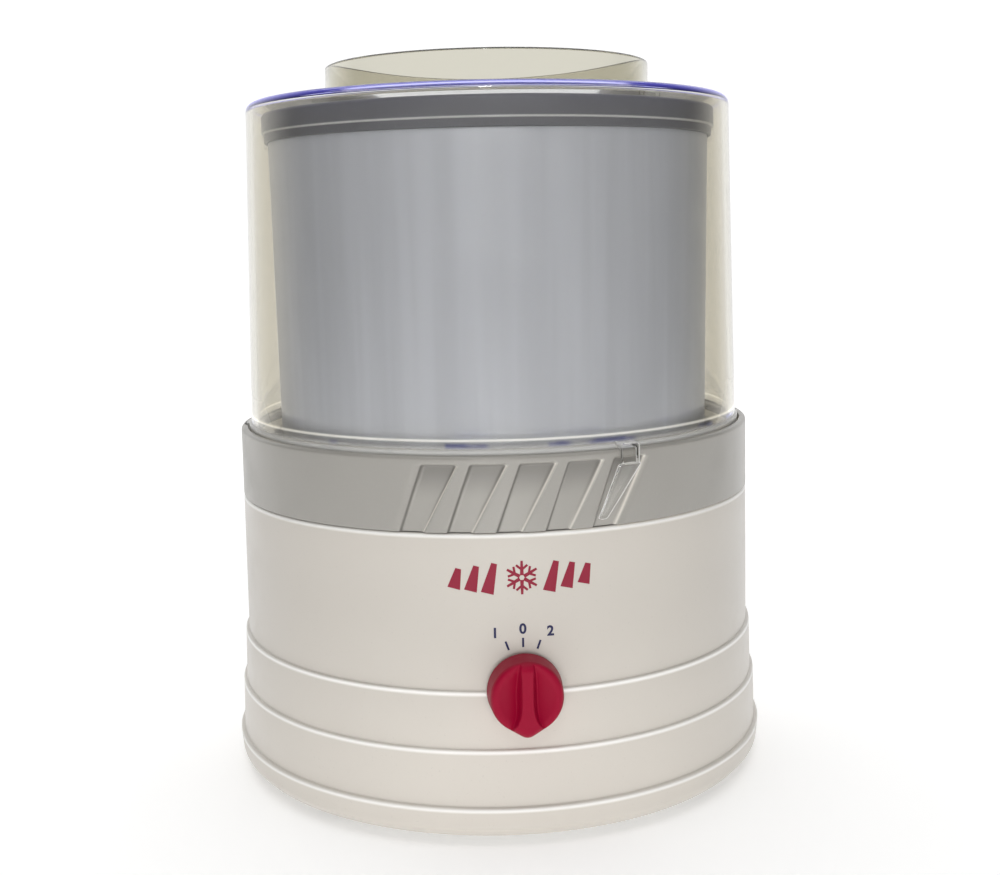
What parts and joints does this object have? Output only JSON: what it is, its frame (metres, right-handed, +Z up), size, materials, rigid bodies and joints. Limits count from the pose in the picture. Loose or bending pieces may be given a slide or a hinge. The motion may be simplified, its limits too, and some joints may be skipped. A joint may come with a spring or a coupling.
{
  "type": "ice cream maker",
  "caption": "Counter-top ice cream maker: round motor base, turning double-walled freezer bowl, still paddle, clear drop-in lid with feed opening and a teardrop selector knob.",
  "frame": {"origin": "on the bowl's axis, level with the soles of the feet", "axes": "+Z up along the bowl's axis, -Y towards the selector knob at the front, +X to the right seen from the front"},
  "size_m": [0.2098, 0.2178, 0.2688],
  "materials": {
    "housing_plastic": "satin",
    "ring_plastic": "satin metallic grey",
    "deck_plastic": "satin",
    "clear_plastic": "polished",
    "paddle_plastic": "satin",
    "bowl_shell_plastic": "satin metallic grey",
    "rim_plastic": "satin",
    "liner_aluminium": "anodised",
    "coolant_gel": "matte",
    "knob_plastic": "gloss",
    "plate_plastic": "matte",
    "foot_rubber": "matte",
    "gland_rubber": "matte",
    "gear_nylon": "matte",
    "case_plastic": "matte",
    "switch_plastic": "matte",
    "steel": "plain",
    "lamination_steel": "plain",
    "winding_copper": "enamelled",
    "bobbin_plastic": "matte",
    "bush_bronze": "sintered",
    "fan_plastic": "matte"
  },
  "bodies": {
    "base": {"base_housing": "housing_plastic", "base_ring": "ring_plastic", "bowl_deck": "deck_plastic", "bottom_plate": "plate_plastic", "foot_front_left": "foot_rubber", "foot_front_right": "foot_rubber", "foot_back_left": "foot_rubber", "foot_back_right": "foot_rubber", "bottom_plate_screws": "steel", "cord_gland": "gland_rubber", "gear_case": "case_plastic", "gear_case_lid": "case_plastic", "gear_case_screws": "steel", "first_gear_axle": "steel", "second_gear_axle": "steel", "upper_spindle_bush": "bush_bronze", "lower_spindle_bush": "bush_bronze", "motor_stator": "lamination_steel", "motor_coil": "winding_copper", "coil_bobbin_left": "bobbin_plastic", "coil_bobbin_right": "bobbin_plastic", "motor_upper_bracket": "steel", "motor_lower_bracket": "steel", "motor_screws": "steel", "selector_switch": "switch_plastic"},
    "knob": {"selector_knob": "knob_plastic", "switch_shaft": "steel"},
    "spindle": {"drive_spindle": "steel", "drive_turntable": "case_plastic", "output_gear": "gear_nylon"},
    "second_gear_body": {"second_gear": "gear_nylon"},
    "first_gear_body": {"first_gear": "gear_nylon"},
    "rotor": {"motor_rotor": "lamination_steel", "motor_shaft": "steel", "motor_pinion": "gear_nylon", "motor_fan": "fan_plastic"},
    "bowl": {"bowl_outer_shell": "bowl_shell_plastic", "bowl_liner": "liner_aluminium", "bowl_rim": "rim_plastic", "bowl_coolant": "coolant_gel", "bowl_drive_socket": "case_plastic"},
    "paddle": {"mixing_paddle": "paddle_plastic"},
    "lid": {"lid": "clear_plastic"}
  },
  "joints": [
    {"name": "spindle_spin", "type": "hinge", "parent": "base", "child": "spindle", "pos_m": [0, 0, 0.09], "axis": [0, 0, 1], "continuous": true},
    {"name": "second_gear_spin", "type": "hinge", "parent": "base", "child": "second_gear_body", "pos_m": [-0.03608, 0, 0.07], "axis": [0, 0, 1], "continuous": true},
    {"name": "first_gear_spin", "type": "hinge", "parent": "base", "child": "first_gear_body", "pos_m": [-0.04637, -0.02827, 0.07], "axis": [0, 0, 1], "continuous": true},
    {"name": "rotor_spin", "type": "hinge", "parent": "base", "child": "rotor", "pos_m": [-0.02032, -0.04331, 0.07], "axis": [0, 0, 1], "continuous": true},
    {"name": "bowl_lift", "type": "slide", "parent": "spindle", "child": "bowl", "axis": [0, 0, 1], "range_m": [0, 0.06]},
    {"name": "paddle_lift", "type": "slide", "parent": "base", "child": "paddle", "axis": [0, 0, 1], "range_m": [0, 0.21]},
    {"name": "lid_lift", "type": "slide", "parent": "base", "child": "lid", "axis": [0, 0, 1], "range_m": [0, 0.34]},
    {"name": "knob_turn", "type": "hinge", "parent": "base", "child": "knob", "pos_m": [0, -0.1, 0.0549], "axis": [0, 1, 0], "range_deg": [-20, 20]}
  ],
  "couplings": [
    {"joint": "second_gear_spin", "follows": "spindle_spin", "ratio": -5},
    {"joint": "first_gear_spin", "follows": "spindle_spin", "ratio": 20},
    {"joint": "rotor_spin", "follows": "spindle_spin", "ratio": -80},
    {"joint": "paddle_lift", "follows": "bowl_lift", "ratio": 3.5},
    {"joint": "lid_lift", "follows": "bowl_lift", "ratio": 5.6667}
  ]
}
